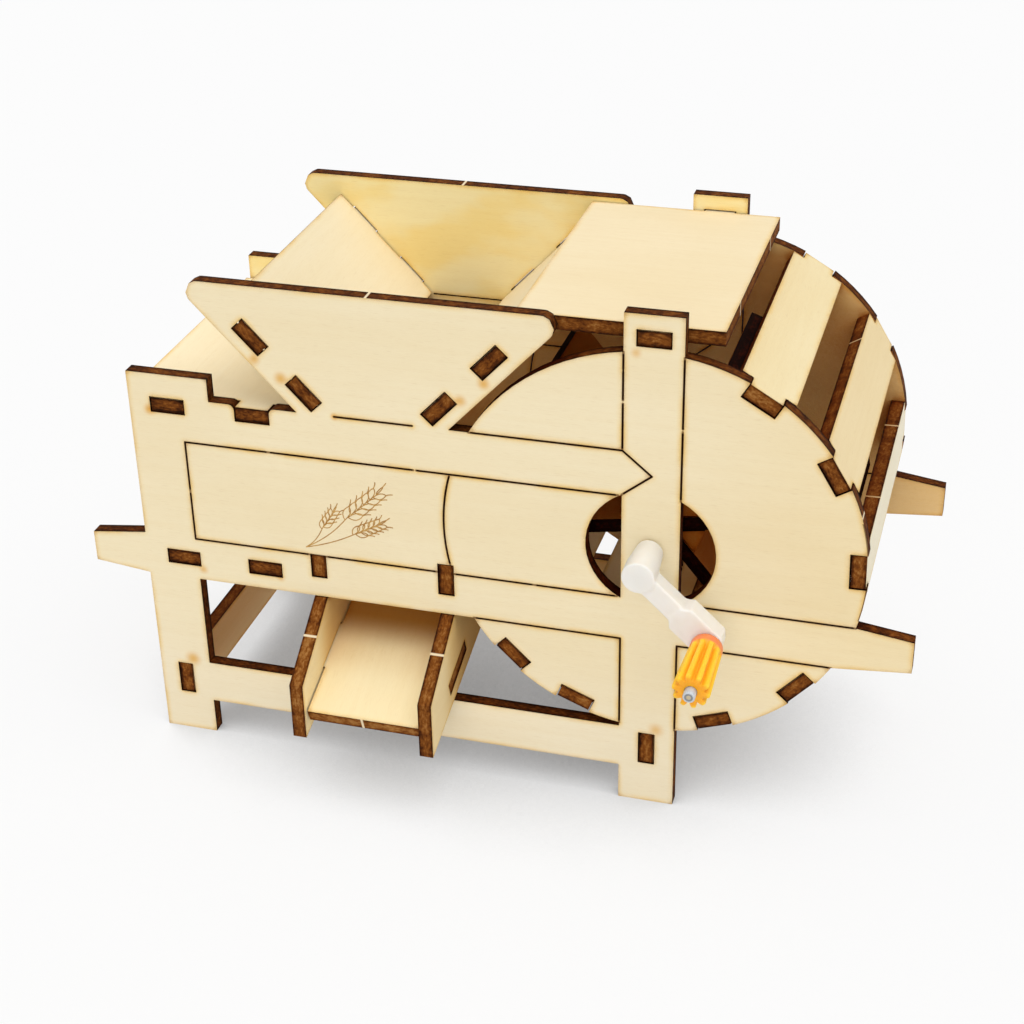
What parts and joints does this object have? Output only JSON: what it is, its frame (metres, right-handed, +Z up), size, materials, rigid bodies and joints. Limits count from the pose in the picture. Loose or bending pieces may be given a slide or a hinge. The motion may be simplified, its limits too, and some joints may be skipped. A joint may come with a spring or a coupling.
{
  "type": "grain winnower model kit",
  "caption": "Hand cranked toy grain winnower of slotted plywood sheets, with a hopper, a drum that holds a bladed fan, a sloping chute and an open tail.",
  "frame": {"origin": "on the table under the middle of the whole model", "axes": "+X along the model towards the drum, +Y to the back, away from the crank, +Z up"},
  "size_m": [0.178, 0.1024, 0.1136],
  "materials": {
    "ply": "bare sanded basswood ply with laser charred edges",
    "steel": "bright drawn rod",
    "milky_plastic": "milky, slightly see-through, satin",
    "orange_plastic": "satin"
  },
  "bodies": {
    "frame": {"front_side_panel": "ply", "back_side_panel": "ply", "body_roof_plate": "ply", "body_floor_plate": "ply", "hopper_left_board": "ply", "hopper_right_board": "ply", "lid_plate": "ply", "left_leg_crossbar": "ply", "right_leg_crossbar": "ply", "chute_left_wall": "ply", "chute_right_wall": "ply", "chute_floor": "ply", "drum_slat_1": "ply", "drum_slat_2": "ply", "drum_slat_3": "ply", "drum_slat_4": "ply", "drum_slat_5": "ply", "drum_slat_6": "ply", "drum_slat_7": "ply"},
    "fan": {"fan_axle": "steel", "fan_hub_front": "ply", "fan_hub_rear": "ply", "fan_blade_1": "ply", "fan_blade_2": "ply", "fan_blade_3": "ply", "fan_blade_4": "ply", "fan_blade_5": "ply", "fan_blade_6": "ply", "axle_collar": "milky_plastic", "crank_arm": "milky_plastic", "crank_pin": "steel"},
    "handle": {"crank_handle_sleeve": "orange_plastic"}
  },
  "joints": [
    {"name": "fan_spin", "type": "hinge", "parent": "frame", "child": "fan", "pos_m": [0.0356, -0.02155, 0.06245], "axis": [0, 1, 0], "continuous": true},
    {"name": "handle_spin", "type": "hinge", "parent": "fan", "child": "handle", "pos_m": [0.04986, -0.03255, 0.04915], "axis": [0, 1, 0], "continuous": true}
  ]
}
